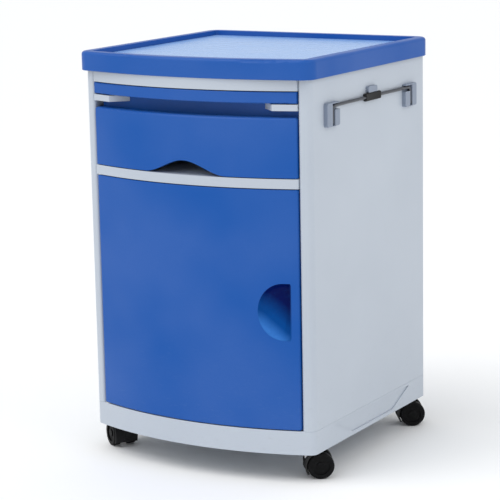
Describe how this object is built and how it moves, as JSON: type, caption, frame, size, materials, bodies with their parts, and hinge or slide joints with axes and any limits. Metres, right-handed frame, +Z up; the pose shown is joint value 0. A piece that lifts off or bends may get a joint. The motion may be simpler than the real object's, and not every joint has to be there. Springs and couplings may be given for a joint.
{
  "type": "bedside cabinet",
  "caption": "Moulded plastic ward bedside cabinet: bowed front, rimmed tray top, pull-out board, drawer with finger arch, hinged door with half-moon grip, side towel bails, swivel castors.",
  "frame": {"origin": "on the floor, under the centre of the whole cabinet's outline", "axes": "+Z up; -Y towards the bowed front with the door and the drawer; +X towards the right-hand side seen from the front"},
  "size_m": [0.4914, 0.5, 0.75],
  "materials": {
    "shell_white": "satin, fine moulded grain",
    "blue_abs": "satin, fine moulded grain",
    "pale_inset": "smooth, wipe-clean",
    "liner_grey": "smooth matt",
    "bracket_grey": "satin",
    "stainless": "brushed along its length",
    "dark_nylon": "moulded, slightly grained",
    "wheel_black": "matt tread",
    "zinc_steel": "zinc plated",
    "natural_nylon": "smooth"
  },
  "bodies": {
    "cabinet": {"base_plinth": "shell_white", "side_panel_right": "shell_white", "side_panel_left": "shell_white", "back_panel": "shell_white", "drawer_deck": "shell_white", "mid_rail": "shell_white", "recess_liner": "blue_abs", "top_deck": "shell_white", "top_tray": "blue_abs", "tray_inset": "pale_inset", "cupboard_shelf": "shell_white", "shelf_pegs": "natural_nylon", "panel_screws": "zinc_steel", "door_hinge_bushes": "natural_nylon", "magnet_catch": "natural_nylon", "drawer_runner_right": "liner_grey", "drawer_runner_left": "liner_grey", "board_guide_right": "liner_grey", "board_guide_left": "liner_grey", "towel_brackets_right": "bracket_grey", "towel_brackets_left": "bracket_grey", "bail_catch_right": "bracket_grey", "bail_catch_left": "bracket_grey", "castor_plates": "zinc_steel", "castor_screws": "zinc_steel"},
    "drawer": {"drawer_front": "blue_abs", "drawer_box": "liner_grey", "drawer_screws": "zinc_steel"},
    "board": {"board_slab": "liner_grey", "board_front": "blue_abs"},
    "door": {"door_outer": "blue_abs", "door_inner": "liner_grey", "door_grip_cup": "blue_abs", "door_screws": "zinc_steel", "door_hinge_pins": "stainless", "door_strike_plate": "zinc_steel"},
    "bail_right": {"towel_bail_right": "stainless", "bail_grip_right": "dark_nylon"},
    "bail_left": {"towel_bail_left": "stainless", "bail_grip_left": "dark_nylon"},
    "castor_front_right": {"castor_hood_front_right": "dark_nylon", "castor_stem_front_right": "zinc_steel", "castor_axle_front_right": "zinc_steel"},
    "wheel_a_front_right": {"castor_wheel_a_front_right": "wheel_black"},
    "wheel_b_front_right": {"castor_wheel_b_front_right": "wheel_black"},
    "castor_front_left": {"castor_hood_front_left": "dark_nylon", "castor_stem_front_left": "zinc_steel", "castor_axle_front_left": "zinc_steel"},
    "wheel_a_front_left": {"castor_wheel_a_front_left": "wheel_black"},
    "wheel_b_front_left": {"castor_wheel_b_front_left": "wheel_black"},
    "castor_rear_right": {"castor_hood_rear_right": "dark_nylon", "castor_stem_rear_right": "zinc_steel", "castor_axle_rear_right": "zinc_steel"},
    "wheel_a_rear_right": {"castor_wheel_a_rear_right": "wheel_black"},
    "wheel_b_rear_right": {"castor_wheel_b_rear_right": "wheel_black"},
    "castor_rear_left": {"castor_hood_rear_left": "dark_nylon", "castor_stem_rear_left": "zinc_steel", "castor_axle_rear_left": "zinc_steel"},
    "wheel_a_rear_left": {"castor_wheel_a_rear_left": "wheel_black"},
    "wheel_b_rear_left": {"castor_wheel_b_rear_left": "wheel_black"}
  },
  "joints": [
    {"name": "drawer_slide", "type": "slide", "parent": "cabinet", "child": "drawer", "axis": [0, -1, 0], "range_m": [0, 0.3]},
    {"name": "board_slide", "type": "slide", "parent": "cabinet", "child": "board", "axis": [0, -1, 0], "range_m": [0, 0.3]},
    {"name": "door_hinge", "type": "hinge", "parent": "cabinet", "child": "door", "pos_m": [-0.2025, -0.20668, 0.3], "axis": [0, 0, -1], "range_deg": [0, 105]},
    {"name": "bail_right_swing", "type": "hinge", "parent": "cabinet", "child": "bail_right", "pos_m": [0.2363, 0.0175, 0.634], "axis": [0, 1, 0], "range_deg": [0, 90]},
    {"name": "bail_left_swing", "type": "hinge", "parent": "cabinet", "child": "bail_left", "pos_m": [-0.2363, 0.0175, 0.634], "axis": [0, -1, 0], "range_deg": [0, 90]},
    {"name": "swivel_front_right", "type": "hinge", "parent": "cabinet", "child": "castor_front_right", "pos_m": [0.196, -0.166, 0.05], "axis": [0, 0, 1], "continuous": true},
    {"name": "roll_a_front_right", "type": "hinge", "parent": "castor_front_right", "child": "wheel_a_front_right", "pos_m": [0.21402, -0.15338, 0.024], "axis": [-0.5736, 0.8192, 0], "continuous": true},
    {"name": "roll_b_front_right", "type": "hinge", "parent": "castor_front_right", "child": "wheel_b_front_right", "pos_m": [0.21402, -0.15338, 0.024], "axis": [-0.5736, 0.8192, 0], "continuous": true},
    {"name": "swivel_front_left", "type": "hinge", "parent": "cabinet", "child": "castor_front_left", "pos_m": [-0.196, -0.166, 0.05], "axis": [0, 0, 1], "continuous": true},
    {"name": "roll_a_front_left", "type": "hinge", "parent": "castor_front_left", "child": "wheel_a_front_left", "pos_m": [-0.21402, -0.15338, 0.024], "axis": [-0.5736, -0.8192, 0], "continuous": true},
    {"name": "roll_b_front_left", "type": "hinge", "parent": "castor_front_left", "child": "wheel_b_front_left", "pos_m": [-0.21402, -0.15338, 0.024], "axis": [-0.5736, -0.8192, 0], "continuous": true},
    {"name": "swivel_rear_right", "type": "hinge", "parent": "cabinet", "child": "castor_rear_right", "pos_m": [0.196, 0.204, 0.05], "axis": [0, 0, 1], "continuous": true},
    {"name": "roll_a_rear_right", "type": "hinge", "parent": "castor_rear_right", "child": "wheel_a_rear_right", "pos_m": [0.21402, 0.21662, 0.024], "axis": [-0.5736, 0.8192, 0], "continuous": true},
    {"name": "roll_b_rear_right", "type": "hinge", "parent": "castor_rear_right", "child": "wheel_b_rear_right", "pos_m": [0.21402, 0.21662, 0.024], "axis": [-0.5736, 0.8192, 0], "continuous": true},
    {"name": "swivel_rear_left", "type": "hinge", "parent": "cabinet", "child": "castor_rear_left", "pos_m": [-0.196, 0.204, 0.05], "axis": [0, 0, 1], "continuous": true},
    {"name": "roll_a_rear_left", "type": "hinge", "parent": "castor_rear_left", "child": "wheel_a_rear_left", "pos_m": [-0.21402, 0.21662, 0.024], "axis": [-0.5736, -0.8192, 0], "continuous": true},
    {"name": "roll_b_rear_left", "type": "hinge", "parent": "castor_rear_left", "child": "wheel_b_rear_left", "pos_m": [-0.21402, 0.21662, 0.024], "axis": [-0.5736, -0.8192, 0], "continuous": true}
  ]
}
